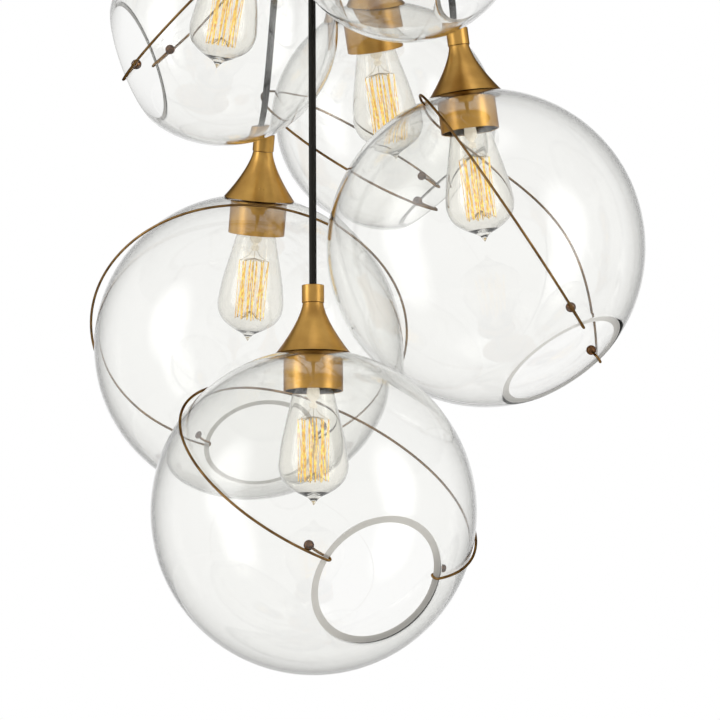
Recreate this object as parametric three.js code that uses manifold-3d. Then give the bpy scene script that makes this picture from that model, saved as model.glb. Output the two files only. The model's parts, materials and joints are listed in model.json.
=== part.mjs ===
// Cluster pendant: six clear blown-glass globes hang on cords from one round ceiling canopy.
// Millimetres, +Z up. The origin is the middle of the bracket face that lies on the ceiling.

import * as THREE from 'three';
import { mergeVertices } from 'three/addons/utils/BufferGeometryUtils.js';
import Module from 'manifold-3d';

const wasm = await Module();
wasm.setup();

// Clearances that every piece shares
const seatGap = 0.3;
const runningGap = 0.45;
const hookGap = 0.6;
const cutOverrun = 3;
const sameCorner = 1e-4;

// Globes: two sizes of one form, each with a neck hole on top and a large mouth low on one side
const largeGlobeRadius = 152.5;
const smallGlobeRadius = 111;
const glassWall = 3.2;
const mouthRadius = 59;
const neckHoleRadius = 21.5;
const largeGlobeSides = 20;
const smallGlobeSides = 16;
const globeRowDegrees = 20;
const lipRowDegrees = 9;
const lipSteps = 3;

// Cluster: the tightest pair of globes, and the tightest cord past a globe, keep these distances
const globeGap = 6.3;
const cordGap = 4;

// Cord and the stop bead that holds it in the canopy
const cordRadius = 3.5;
const cordSides = 8;
const cordStep = 25;
const beadRadius = 10;
const beadSides = 8;
const cordHoleRadius = 8.5;
const cordSeatDepth = 9;

// Collar: the cord grip on top of the cap
const collarRadius = 10.5;
const collarLength = 16.8;
const collarBevel = 0.8;

// Cap: the spun trumpet that covers the neck from above
const capRimRadius = 35;
const capTopRadius = 9.8;
const capHeight = 47.2;
const capWall = 1.2;
const capFlarePower = 1.45;
const capSteps = 4;
const headSides = 12;

// Cup: the turned shell inside the glass, which holds the globe up against the cap
const cupRadius = 28;
const cupHeight = 31.5;
const cupWall = 1.4;
const cupWebHeight = 16;
const cupWebThickness = 2;

// Lampholder: the socket body, its flange under the cup's web and the nipple up into the collar
const holderRadius = 17;
const holderBoreRadius = 13.8;
const holderBoreDepth = 25;
const holderFlangeRadius = 22;
const holderFlangeThickness = 4;
const holderAboveNeck = 14;
const holderShoulder = 5;
const nippleRadius = 5;
const nippleInCollar = 5;

// Bulb: a straight-sided bulb with a pointed tip, a screw base and a squirrel-cage filament
const bulbRadius = 32.9;
const bulbDrop = 109;
const bulbWall = 1;
const bulbOutlineShares = [[0.12, 0.955], [0.3, 0.943], [0.62, 0.902], [0.91, 0.81], [1, 0.67], [0.6, 0]];
const bulbNeckRadius = 13;
const bulbNeckRise = 9;
const baseRadius = 13.2;
const baseLength = 24;
const baseContactRadius = 4.5;
const baseContactHeight = 2.2;
const stemRadius = 4.2;
const stemEndDrop = 34;
const stemEndRadius = 2;
const cageTopDrop = 27;
const cageLength = 58;
const cageRadius = 15;
const cageStrands = 8;
const cageWireRadius = 0.7;
const cageBandHeight = 8;
const cageSupports = 2;
const cagePostDrop = 80;

// Hoop: the wire ring round the globe that hooks over the mouth's lip and ends in two balls
const hoopWireRadius = 1.25;
const hoopWireSides = 5;
const hoopBallRadius = 4.75;
const hoopTailLength = 19;
const hoopTailLift = 8;
const hoopArcSteps = 22;
const bowLift = 0.1;
const hoopBallSides = 6;
const hookSteps = 4;

// Canopy, its bracket, screws and terminal block
const canopyRadius = 150;
const canopyHeight = 30;
const canopyWall = 1.5;
const canopyCorner = 7;
const canopySides = 24;
const cordHoleSides = 8;
const cornerSteps = 2;
const bracketLength = canopyRadius * 1.6;
const bracketWidth = 26;
const bracketThickness = 3;
const wireHoleRadius = 9;
const wireHoleOffset = 42;
const screwOffset = canopyRadius * 0.7;
const screwRadius = 2.5;
const screwHeadRadius = 7;
const screwSides = 10;
const blockLength = 28;
const blockWidth = 18;
const blockHeight = 14;
const blockOffset = 86;
const blockSlotWidth = 4;
const blockSlotDepth = 3;
const blockSlots = 3;

// The six drops. Places are shares of the cluster's pitch, seen from the canopy's middle:
// grip is where the cord leaves the canopy, centre is the globe's, and both lie on the cord's line.
// mouth points from the globe's centre through its mouth, and hooks runs from one hook to the other.
// aside moves that line off the mouth's middle, as a share of its radius, and lean turns the hoop's
// plane about it, in degrees. slack is the hoop's far clearance as a share of its globe, and bow is
// how far the side of the hoop towards which hooks runs is bent out of that plane, as a share too.
const dropShares = [
  {
    name: 'front_low', radius: largeGlobeRadius, sides: largeGlobeSides,
    grip: [-0.37, -0.42], centre: [-0.332, -1.33, -7.997],
    mouth: [0.42, -0.8, -0.42], hooks: [0.84, 0.52, -0.17], aside: 0.22, lean: 9.5, slack: 0.02,
  },
  {
    name: 'rear_left', radius: largeGlobeRadius, sides: largeGlobeSides,
    grip: [-0.48, 0.77], centre: [-1.029, 1.55, -6.45],
    mouth: [0.06, 0.73, -0.68], hooks: [1, -0.05, 0.03], aside: -0.04, lean: -8, slack: 0.06,
  },
  {
    name: 'right', radius: largeGlobeRadius, sides: largeGlobeSides,
    grip: [0.58, 0.07], centre: [1.304, -0.35, -5.509],
    mouth: [0.51, -0.37, -0.78], hooks: [0.2, 0.93, -0.31], aside: 0.54, lean: -1, slack: 0.035,
    bow: 0.33,
  },
  {
    name: 'upper_left', radius: smallGlobeRadius, sides: smallGlobeSides,
    grip: [-0.64, -0.15], centre: [-1.222, 0.05, -3.405],
    mouth: [-0.92, 0.23, -0.32], hooks: [0.19, 0.97, 0.17], aside: 0.14, lean: -25, slack: 0.19,
  },
  {
    name: 'rear_right', radius: smallGlobeRadius, sides: smallGlobeSides,
    grip: [-0.274, 1.044], centre: [0.361, 1.85, -4.157],
    mouth: [0.66, 0.15, -0.74], hooks: [-0.02, 0.95, 0.3], aside: -0.25, lean: -19, slack: 0.12,
  },
  {
    name: 'top_front', radius: smallGlobeRadius, sides: smallGlobeSides,
    grip: [0.4, -1.1], centre: [0.52, -1.58, -2.524],
    mouth: [0.78, 0.5, -0.38], hooks: [-0.5, 0.85, 0.1], aside: 0.1, lean: 10, slack: 0.2,
  },
];

const brass = { color: 0xb07f33, roughness: 0.38, metalness: 1 };
const darkBrass = { color: 0x6d4c20, roughness: 0.45, metalness: 1 };
const cordBlack = { color: 0x15130f, roughness: 0.7, metalness: 0 };
const holderBlack = { color: 0x1a1917, roughness: 0.5, metalness: 0 };
const clearGlass = { color: 0xe8ece9, roughness: 0.05, metalness: 0, transparent: true, opacity: 0.35 };
const bulbGlass = { color: 0xf2d9a4, roughness: 0.05, metalness: 0, transparent: true, opacity: 0.4 };
const steel = { color: 0x9d9c98, roughness: 0.45, metalness: 1 };
const terminalWhite = { color: 0xd9d6cd, roughness: 0.6, metalness: 0 };

// Turns a geometry into one indexed skin of shared corners whose faces point out.
function skin(geometry) {
  const bare = geometry.clone();
  bare.deleteAttribute('normal');
  bare.deleteAttribute('uv');
  const merged = mergeVertices(bare, sameCorner);
  const corners = merged.index.array;
  const place = merged.attributes.position;
  const kept = [];
  let volume = 0;
  const a = new THREE.Vector3();
  const b = new THREE.Vector3();
  const c = new THREE.Vector3();
  for (let i = 0; i < corners.length; i += 3) {
    const [p, q, r] = [corners[i], corners[i + 1], corners[i + 2]];
    if (p === q || q === r || r === p) {
      continue;
    }
    kept.push(p, q, r);
    a.fromBufferAttribute(place, p);
    b.fromBufferAttribute(place, q);
    c.fromBufferAttribute(place, r);
    volume += a.dot(b.cross(c));
  }
  if (volume < 0) {
    kept.reverse();
  }
  merged.setIndex(kept);
  return merged;
}

function toSolid(geometry) {
  const closed = skin(geometry);
  return new wasm.Manifold(new wasm.Mesh({
    numProp: 3,
    vertProperties: new Float32Array(closed.attributes.position.array),
    triVerts: new Uint32Array(closed.index.array),
  }));
}

function toGeometry(solid) {
  const mesh = solid.getMesh();
  const geometry = new THREE.BufferGeometry();
  geometry.setAttribute('position', new THREE.BufferAttribute(mesh.vertProperties, 3));
  geometry.setIndex(new THREE.BufferAttribute(mesh.triVerts, 1));
  return geometry;
}

// Revolves an outline of [radius, height] corners about +Z.
function revolve(outline, sides) {
  const points = outline.map(([r, z]) => new THREE.Vector2(Math.max(r, 0), z));
  return skin(new THREE.LatheGeometry(points, sides).rotateX(Math.PI / 2));
}

// A closed ring's outline, revolved: its last corner joins its first.
function revolveRing(outline, sides) {
  return revolve([...outline, outline[0]], sides);
}

// Corners of an arc about a middle point, from one angle to another, in degrees from the radius axis.
function arc(middle, radius, from, to, steps) {
  const corners = [];
  for (let i = 0; i <= steps; i += 1) {
    const angle = THREE.MathUtils.degToRad(from + ((to - from) * i) / steps);
    corners.push([middle[0] + radius * Math.cos(angle), middle[1] + radius * Math.sin(angle)]);
  }
  return corners;
}

function cylinder(radius, length, sides) {
  return new THREE.CylinderGeometry(radius, radius, length, sides).rotateX(Math.PI / 2);
}

function circle(radius, sides) {
  const shape = new THREE.Shape();
  for (let i = 0; i < sides; i += 1) {
    const angle = (2 * Math.PI * i) / sides;
    const corner = [radius * Math.cos(angle), radius * Math.sin(angle)];
    if (i === 0) {
      shape.moveTo(...corner);
    } else {
      shape.lineTo(...corner);
    }
  }
  shape.closePath();
  return shape;
}

function tube(path, radius, sides, steps) {
  return new THREE.ExtrudeGeometry(circle(radius, sides), { steps, extrudePath: path });
}

// A straight round wire between two points, as a prism.
function wire(from, to, radius, sides) {
  return tube(new THREE.LineCurve3(from, to), radius, sides, 1);
}

function piece(name, geometry, finish, parent) {
  const mesh = new THREE.Mesh(geometry, new THREE.MeshStandardMaterial(finish));
  mesh.name = name;
  parent.add(mesh);
  return mesh;
}

// Height of the bead's middle above the canopy plate when the bead sits in its hole.
const cordHoleFlat = cordHoleRadius * Math.cos(Math.PI / cordHoleSides);
const beadRise = Math.sqrt(beadRadius ** 2 - cordHoleFlat ** 2) + seatGap;
const plateTop = canopyWall - canopyHeight;
const pivotHeight = plateTop + beadRise;

// The pitch draws the six drops together until the tightest pair, or the tightest cord beside a
// globe, is one gap apart. A change of globe, wall or cord spreads the cluster as it needs.
function clusterPitch() {
  let pitch = 0;
  for (const one of dropShares) {
    const centre = new THREE.Vector3(...one.centre);
    const line = new THREE.Line3(new THREE.Vector3(...one.grip, 0), centre);
    for (const other of dropShares) {
      if (other === one) {
        continue;
      }
      const middle = new THREE.Vector3(...other.centre);
      const apart = centre.distanceTo(middle);
      const passing = line.closestPointToPoint(middle, true, new THREE.Vector3()).distanceTo(middle);
      pitch = Math.max(pitch, (one.radius + other.radius + globeGap) / apart);
      pitch = Math.max(pitch, (cordRadius + other.radius + cordGap) / passing);
    }
  }
  return pitch;
}

// Levels along a drop's own axis, measured up from its globe's centre.
function headLevels(globeRadius, globeSides) {
  const innerRadius = globeRadius - glassWall;
  const halfSide = Math.PI / globeSides;
  const neckAngle = Math.asin(capRimRadius / globeRadius);
  const facetSag = innerRadius * (1 - Math.cos(halfSide) * Math.cos(neckAngle / 2));
  const rimSeatRadius = (capRimRadius - capWall) * Math.cos(Math.PI / headSides);
  const neck = Math.sqrt(globeRadius ** 2 - rimSeatRadius ** 2);
  const cupTop = Math.sqrt(innerRadius ** 2 - cupRadius ** 2) - facetSag - seatGap;
  const capBottom = neck + seatGap;
  const capTop = capBottom + capHeight;
  const collarBottom = capTop + seatGap;
  return {
    capBottom,
    capTop,
    cupTop,
    cupBottom: cupTop - cupHeight,
    collarBottom,
    collarTop: collarBottom + collarLength,
    holderTop: neck + holderAboveNeck,
    neckAngle,
  };
}

// Polar angles of the globe's rows, counted from the mouth's axis. Rows fall on the neck and the cap's rim.
function globeRows(lipAngle, neckAngle, capAngle) {
  const lipRow = lipAngle + THREE.MathUtils.degToRad(lipRowDegrees);
  const marks = [lipRow, neckAngle - capAngle, neckAngle, neckAngle + capAngle, Math.PI];
  const step = THREE.MathUtils.degToRad(globeRowDegrees);
  const rows = [lipAngle, lipRow];
  for (let i = 1; i < marks.length; i += 1) {
    const span = marks[i] - marks[i - 1];
    const count = Math.max(1, Math.round(span / step));
    for (let k = 1; k <= count; k += 1) {
      rows.push(marks[i - 1] + (span * k) / count);
    }
  }
  return rows;
}

// The polar angle of the lip's round edge, which leaves a mouth of mouthRadius.
function lipAngleOf(globeRadius) {
  return Math.asin((mouthRadius + glassWall / 2) / (globeRadius - glassWall / 2));
}

// The globe is revolved about its mouth's axis, +Z here, so that the lip is a true round edge.
// Its neck hole is then cut along the drop's axis, which lies in the XZ plane.
function globe(globeRadius, sides, neckAngle) {
  const lipAngle = lipAngleOf(globeRadius);
  const levels = headLevels(globeRadius, sides);
  const rows = globeRows(lipAngle, neckAngle, levels.neckAngle);
  const onSphere = (radius) => (angle) => [radius * Math.sin(angle), radius * Math.cos(angle)];
  const outer = rows.map(onSphere(globeRadius)).reverse();
  const inner = rows.map(onSphere(globeRadius - glassWall));
  const lipMiddle = onSphere(globeRadius - glassWall / 2)(lipAngle);
  const lipTurn = 90 - THREE.MathUtils.radToDeg(lipAngle);
  const lip = arc(lipMiddle, glassWall / 2, lipTurn, lipTurn + 180, lipSteps).slice(1, -1);
  const shell = toSolid(revolve([...outer, ...lip, ...inner], sides).rotateZ(Math.PI / 2));
  const cutterLength = globeRadius + cutOverrun;
  const cutter = cylinder(neckHoleRadius, cutterLength, headSides)
    .translate(0, 0, cutterLength / 2)
    .rotateY(neckAngle);
  return toGeometry(shell.subtract(toSolid(cutter)));
}

// The hoop's centreline, in its own plane: tail, hook, long arc, hook, tail. Each stretch takes
// its own number of steps, so that the tight hooks are round and the long arc stays light.
class HoopPath extends THREE.Curve {
  constructor(globeRadius, globeSides, farClearance, leanAngle, aside, bow) {
    super();
    const lipAngle = lipAngleOf(globeRadius);
    const lipMiddleRadius = globeRadius - glassWall / 2;
    const lipSag = lipMiddleRadius * Math.sin(lipAngle) * (1 - Math.cos(Math.PI / globeSides)) / 2;
    const lipRingRadius = lipMiddleRadius * Math.sin(lipAngle) - lipSag;
    const lipDepth = lipMiddleRadius * Math.cos(lipAngle);
    const halfChord = Math.sqrt(lipRingRadius ** 2 - aside ** 2);
    const planeOffset = lipDepth * Math.sin(leanAngle) + aside * Math.cos(leanAngle);
    const depthInPlane = lipDepth * Math.cos(leanAngle) - aside * Math.sin(leanAngle);
    const skew = (halfChord / lipRingRadius) * Math.cos(leanAngle);
    const hookRadius = glassWall / 2 / skew + lipSag + hookGap + hoopWireRadius;
    const sectionRadius = Math.sqrt(globeRadius ** 2 - planeOffset ** 2);
    const farHeight = sectionRadius + farClearance + hoopWireRadius;
    const outward = Math.atan2(-depthInPlane, halfChord);
    const start = new THREE.Vector2(halfChord, -depthInPlane)
      .add(new THREE.Vector2(Math.cos(outward), Math.sin(outward)).multiplyScalar(hookRadius));
    const rise = farHeight - start.y;
    const arcRadius = (rise ** 2 + start.x ** 2) / (2 * rise);
    const arcMiddle = farHeight - arcRadius;
    const startAngle = Math.atan2(start.y - arcMiddle, start.x);
    const tailRadius = Math.hypot(halfChord, depthInPlane) - hookRadius;
    const tailAngle = outward + hoopTailLength / tailRadius;
    const half = [new THREE.Vector2(Math.cos(tailAngle), Math.sin(tailAngle))
      .multiplyScalar(tailRadius - hoopTailLift)];
    for (let i = 0; i < hookSteps; i += 1) {
      const angle = outward - Math.PI + (Math.PI * i) / hookSteps;
      half.push(new THREE.Vector2(halfChord, -depthInPlane).add(
        new THREE.Vector2(Math.cos(angle), Math.sin(angle)).multiplyScalar(hookRadius)));
    }
    // The arc's corners stand a little outside it, so that its straight steps stay clear of the glass.
    const step = (Math.PI / 2 - startAngle) / (hoopArcSteps / 2);
    const cornerRadius = arcRadius / Math.cos(step / 2);
    half.push(start);
    for (let i = 1; i < hoopArcSteps / 2; i += 1) {
      const angle = startAngle + step * i;
      half.push(new THREE.Vector2(cornerRadius * Math.cos(angle), arcMiddle + cornerRadius * Math.sin(angle)));
    }
    const mirrored = half.map((p) => new THREE.Vector2(-p.x, p.y)).reverse();
    this.corners = [...half, new THREE.Vector2(0, farHeight), ...mirrored]
      .map((p) => new THREE.Vector3(p.x, p.y, 0));
    this.steps = this.corners.length - 1;
    this.planeOffset = planeOffset;
    this.bowOut(bow);
  }

  // Bows the arc on the first hook's side out of the plane, and keeps it as far from the globe's
  // centre as the flat arc, with a little more room for the hoop to tilt in.
  bowOut(bow) {
    const arcSteps = hoopArcSteps / 2;
    for (let i = 1; i < arcSteps; i += 1) {
      const corner = this.corners[hookSteps + 1 + i];
      const share = Math.sin((Math.PI * i) / arcSteps) ** 2;
      const flatRadius = Math.hypot(corner.x, corner.y);
      const reach = Math.hypot(flatRadius, this.planeOffset) + bow * bowLift * share;
      const height = bow * share;
      corner.multiplyScalar(Math.sqrt(reach ** 2 - (this.planeOffset + height) ** 2) / flatRadius);
      corner.z = height;
    }
  }

  getPoint(t, target = new THREE.Vector3()) {
    return target.copy(this.corners[Math.round(t * this.steps)]);
  }

  getPointAt(t, target) {
    return this.getPoint(t, target);
  }

  getTangentAt(t, target = new THREE.Vector3()) {
    const i = Math.round(t * this.steps);
    const before = this.corners[Math.max(i - 1, 0)];
    const after = this.corners[Math.min(i + 1, this.steps)];
    return target.subVectors(after, before).normalize();
  }
}

function hoop(path) {
  const ringWire = toSolid(tube(path, hoopWireRadius, hoopWireSides, path.steps));
  let whole = ringWire;
  for (const end of [path.corners[0], path.corners[path.steps]]) {
    const ball = new THREE.SphereGeometry(hoopBallRadius, hoopBallSides, hoopBallSides - 2)
      .translate(end.x, end.y, 0);
    whole = whole.add(toSolid(ball));
  }
  return toGeometry(whole);
}

function cap(levels) {
  const flare = (share) => capTopRadius + (capRimRadius - capTopRadius) * share ** capFlarePower;
  const outside = [];
  const inside = [];
  for (let i = 0; i <= capSteps; i += 1) {
    const share = i / capSteps;
    const height = levels.capTop - capHeight * share;
    outside.push([flare(share), height]);
    if (i % 2 === 0) {
      inside.unshift([flare(share) - capWall, Math.min(height, levels.capTop - capWall)]);
    }
  }
  const nippleHole = nippleRadius + seatGap;
  const top = [[nippleHole, levels.capTop - capWall], [nippleHole, levels.capTop]];
  return revolveRing([...outside, ...inside, ...top], headSides);
}

function cup(levels) {
  const { cupTop, cupBottom } = levels;
  const innerRadius = cupRadius - cupWall;
  const web = cupBottom + cupWebHeight;
  const webHole = holderRadius + seatGap;
  return revolveRing([
    [cupRadius, cupTop],
    [cupRadius, cupBottom],
    [innerRadius, cupBottom],
    [innerRadius, web],
    [webHole, web],
    [webHole, web + cupWebThickness],
    [innerRadius, web + cupWebThickness],
    [innerRadius, cupTop],
  ], headSides);
}

function lampholder(levels) {
  const flangeTop = levels.cupBottom + cupWebHeight - seatGap;
  const flangeBottom = flangeTop - holderFlangeThickness;
  const boreTop = flangeBottom + holderBoreDepth;
  const nippleTop = levels.collarBottom + nippleInCollar;
  return revolve([
    [0, boreTop],
    [holderBoreRadius, boreTop],
    [holderBoreRadius, flangeBottom],
    [holderFlangeRadius, flangeBottom],
    [holderFlangeRadius, flangeTop],
    [holderRadius, flangeTop],
    [holderRadius, levels.holderTop - holderShoulder],
    [nippleRadius, levels.holderTop],
    [nippleRadius, nippleTop],
    [0, nippleTop],
  ], headSides);
}

function collar(levels) {
  const { collarBottom, collarTop } = levels;
  const nippleBore = nippleRadius + seatGap;
  const nippleEnd = collarBottom + nippleInCollar + seatGap;
  const cordBore = cordRadius + runningGap;
  const cordFloor = collarTop - cordSeatDepth;
  return revolve([
    [0, nippleEnd],
    [nippleBore, nippleEnd],
    [nippleBore, collarBottom],
    [collarRadius, collarBottom],
    [collarRadius, collarTop - collarBevel],
    [collarRadius - collarBevel, collarTop],
    [cordBore, collarTop],
    [cordBore, cordFloor],
    [0, cordFloor],
  ], headSides);
}

// The cord runs straight from its bead in the canopy down into the collar.
function cord(levels, dropLength) {
  const foot = new THREE.Vector3(0, 0, levels.collarTop - cordSeatDepth + seatGap);
  const head = new THREE.Vector3(0, 0, dropLength);
  const steps = Math.max(1, Math.round(foot.distanceTo(head) / cordStep));
  const run = tube(new THREE.LineCurve3(foot, head), cordRadius, cordSides, steps);
  const bead = new THREE.SphereGeometry(beadRadius, beadSides, beadSides / 2).translate(0, 0, dropLength);
  return toGeometry(toSolid(run).add(toSolid(bead)));
}

function bulbShell(levels) {
  const tip = [0, levels.cupBottom - bulbDrop];
  const outside = bulbOutlineShares.map(([r, z]) => [
    r * bulbRadius,
    levels.cupBottom - z * bulbDrop,
  ]);
  const inside = outside.slice(2).map(([r, z]) => [r - bulbWall, z + bulbWall]).reverse();
  const neckTop = levels.cupBottom + bulbNeckRise;
  const neck = [[bulbNeckRadius, neckTop], [bulbNeckRadius - bulbWall, neckTop]];
  const innerTip = [0, outside[1][1] + bulbWall];
  return revolve([tip, ...outside, ...neck, ...inside, innerTip], headSides);
}

// The filament's cage: one zigzag band round a drum, whose slopes are the strands.
function cageBand(level) {
  const corners = [];
  const faces = [];
  const half = cageBandHeight / 2;
  for (let i = 0; i < cageStrands; i += 1) {
    const angle = (2 * Math.PI * i) / cageStrands;
    const middle = level - cageTopDrop - (i % 2 === 0 ? 0 : cageLength);
    for (const radius of [cageRadius - cageWireRadius, cageRadius + cageWireRadius]) {
      for (const height of [middle - half, middle + half]) {
        corners.push(radius * Math.cos(angle), radius * Math.sin(angle), height);
      }
    }
  }
  const ring = [0, 1, 3, 2];
  for (let i = 0; i < cageStrands; i += 1) {
    const here = 4 * i;
    const next = 4 * ((i + 1) % cageStrands);
    for (let k = 0; k < 4; k += 1) {
      const a = ring[k];
      const b = ring[(k + 1) % 4];
      faces.push(here + a, next + a, next + b, here + a, next + b, here + b);
    }
  }
  const band = new THREE.BufferGeometry();
  band.setAttribute('position', new THREE.Float32BufferAttribute(corners, 3));
  band.setIndex(faces);
  return skin(band);
}

// The screw base, the glass stem in the bulb, and the cage on its support wires.
function bulbMount(levels) {
  const level = levels.cupBottom;
  const baseBottom = level + bulbNeckRise + seatGap;
  const baseTop = baseBottom + baseLength;
  const body = revolve([
    [0, level - cagePostDrop],
    [cageWireRadius, level - cagePostDrop],
    [stemEndRadius, level - stemEndDrop],
    [stemRadius, baseBottom],
    [baseRadius, baseBottom],
    [baseRadius, baseTop - baseContactHeight],
    [baseContactRadius, baseTop],
    [0, baseTop],
  ], headSides);
  let whole = toSolid(body).add(toSolid(cageBand(level)));
  const cageBottomDrop = cageTopDrop + cageLength;
  const support = (index, axisDrop, rimDrop) => {
    const angle = (2 * Math.PI * index) / cageStrands;
    const rim = new THREE.Vector3(cageRadius * Math.cos(angle), cageRadius * Math.sin(angle), level - rimDrop);
    const axis = new THREE.Vector3(0, 0, level - axisDrop);
    whole = whole.add(toSolid(wire(axis, rim, cageWireRadius, 3)));
  };
  for (let i = 0; i < cageSupports; i += 1) {
    const index = (i * cageStrands) / cageSupports;
    support(index, stemEndDrop - stemRadius, cageTopDrop);
    support(index + 1, cagePostDrop - stemEndRadius, cageBottomDrop);
  }
  return toGeometry(whole);
}

// One drop: its group stands at the globe's centre with +Z up the cord.
function drop(shares, pitch) {
  const group = new THREE.Group();
  const centre = new THREE.Vector3(...shares.centre).multiplyScalar(pitch);
  centre.z += pivotHeight;
  const grip = new THREE.Vector3(...shares.grip, 0).multiplyScalar(pitch);
  grip.z += pivotHeight;
  const up = grip.clone().sub(centre);
  const dropLength = up.length();
  up.normalize();
  group.position.copy(centre);
  group.quaternion.setFromUnitVectors(new THREE.Vector3(0, 0, 1), up);
  const intoGroup = group.quaternion.clone().invert();

  const levels = headLevels(shares.radius, shares.sides);
  piece(`${shares.name}_cord`, cord(levels, dropLength), cordBlack, group);
  piece(`${shares.name}_collar`, collar(levels), brass, group);
  piece(`${shares.name}_cap`, cap(levels), brass, group);
  piece(`${shares.name}_cup`, cup(levels), brass, group);
  piece(`${shares.name}_lampholder`, lampholder(levels), holderBlack, group);
  piece(`${shares.name}_bulb_glass`, bulbShell(levels), bulbGlass, group);
  piece(`${shares.name}_bulb_mount`, bulbMount(levels), steel, group);

  // The globe's own +Z is its mouth's axis, and the neck lies towards its +X.
  const mouthAxis = new THREE.Vector3(...shares.mouth).normalize().applyQuaternion(intoGroup);
  const neckAngle = Math.acos(mouthAxis.z);
  const towardsNeck = new THREE.Vector3(0, 0, 1).addScaledVector(mouthAxis, -mouthAxis.z).normalize();
  const across = mouthAxis.clone().cross(towardsNeck);
  const globeMesh = piece(
    `${shares.name}_globe`, globe(shares.radius, shares.sides, neckAngle), clearGlass, group);
  globeMesh.quaternion.setFromRotationMatrix(
    new THREE.Matrix4().makeBasis(towardsNeck, across, mouthAxis));

  // The hoop's own X runs from hook to hook and its Y towards its far end, away from the mouth.
  const lean = THREE.MathUtils.degToRad(shares.lean);
  const path = new HoopPath(
    shares.radius, shares.sides, shares.slack * shares.radius, lean, shares.aside * mouthRadius,
    (shares.bow || 0) * shares.radius);
  const hooks = new THREE.Vector3(...shares.hooks).applyQuaternion(intoGroup);
  hooks.addScaledVector(mouthAxis, -hooks.dot(mouthAxis)).normalize();
  const side = mouthAxis.clone().cross(hooks);
  const far = mouthAxis.clone().multiplyScalar(-Math.cos(lean)).addScaledVector(side, Math.sin(lean));
  const normal = hooks.clone().cross(far);
  const hoopMesh = piece(`${shares.name}_hoop`, hoop(path), darkBrass, group);
  hoopMesh.quaternion.setFromRotationMatrix(new THREE.Matrix4().makeBasis(hooks, far, normal));
  hoopMesh.position.copy(normal).multiplyScalar(path.planeOffset);
  return group;
}

function screwPlace(side) {
  return new THREE.Vector3(side * screwOffset, 0, 0);
}

function canopy(pitch) {
  const cornerMiddle = [canopyRadius - canopyCorner, canopyCorner - canopyHeight];
  const outside = arc(cornerMiddle, canopyCorner, -90, 0, cornerSteps);
  const inside = arc(cornerMiddle, canopyCorner - canopyWall, 0, -90, cornerSteps);
  let dish = toSolid(revolve([
    [0, -canopyHeight],
    ...outside,
    [canopyRadius, 0],
    [canopyRadius - canopyWall, 0],
    ...inside,
    [0, plateTop],
  ], canopySides));
  const cutLength = canopyWall + 2 * cutOverrun;
  const plateMiddle = plateTop - canopyWall / 2;
  const cordHole = cylinder(cordHoleRadius, cutLength, cordHoleSides);
  for (const shares of dropShares) {
    const hole = cordHole.clone().translate(shares.grip[0] * pitch, shares.grip[1] * pitch, plateMiddle);
    dish = dish.subtract(toSolid(hole));
  }
  for (const side of [-1, 1]) {
    const place = screwPlace(side);
    const hole = cylinder(screwRadius + seatGap, cutLength, screwSides).translate(place.x, place.y, plateMiddle);
    dish = dish.subtract(toSolid(hole));
  }
  return toGeometry(dish);
}

function bracket() {
  let bar = toSolid(new THREE.BoxGeometry(bracketLength, bracketWidth, bracketThickness)
    .translate(0, 0, -bracketThickness / 2));
  const cutLength = bracketThickness + 2 * cutOverrun;
  const cut = (x, radius) => {
    const hole = cylinder(radius, cutLength, screwSides).translate(x, 0, -bracketThickness / 2);
    bar = bar.subtract(toSolid(hole));
  };
  cut(wireHoleOffset, wireHoleRadius);
  cut(-wireHoleOffset, screwRadius + seatGap);
  for (const side of [-1, 1]) {
    cut(side * screwOffset, screwRadius + seatGap);
  }
  return toGeometry(bar);
}

// A canopy screw: a round knob under the plate and a shank up through the bracket.
function canopyScrew() {
  const under = -canopyHeight - seatGap;
  const knob = arc([0, under], screwHeadRadius, -90, 0, 3);
  return revolve([
    ...knob,
    [screwRadius, under],
    [screwRadius, -seatGap],
    [0, -seatGap],
  ], screwSides);
}

function terminalBlock() {
  const top = -bracketThickness - seatGap;
  let block = toSolid(new THREE.BoxGeometry(blockLength, blockWidth, blockHeight)
    .translate(0, 0, top - blockHeight / 2));
  for (let i = 0; i < blockSlots; i += 1) {
    const x = ((i + 0.5) / blockSlots - 0.5) * blockLength;
    const slot = new THREE.BoxGeometry(blockSlotWidth, blockWidth + 2 * cutOverrun, 2 * blockSlotDepth)
      .translate(x, 0, top - blockHeight);
    block = block.subtract(toSolid(slot));
  }
  return toGeometry(block);
}

function clusterPendant() {
  const group = new THREE.Group();
  const pitch = clusterPitch();
  piece('canopy', canopy(pitch), brass, group);
  piece('ceiling_bracket', bracket(), steel, group);
  for (const [side, name] of [[-1, 'left'], [1, 'right']]) {
    piece(`canopy_screw_${name}`, canopyScrew(), brass, group).position.copy(screwPlace(side));
  }
  piece('terminal_block', terminalBlock(), terminalWhite, group).position.set(blockOffset, 0, 0);
  for (const shares of dropShares) {
    group.add(drop(shares, pitch));
  }
  return group;
}

const group = clusterPendant();
export default group;
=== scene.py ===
# %% [markdown]
# # A cluster pendant in clear glass and aged brass
# Six blown-glass globes hang on black cords from one round canopy. Each globe has a large open
# mouth low on one side, and a wire hoop hooks over the lip of that mouth and rings the glass.
# The load-bearing model is already packed: this script dresses it, piece by piece, in metres.

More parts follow.
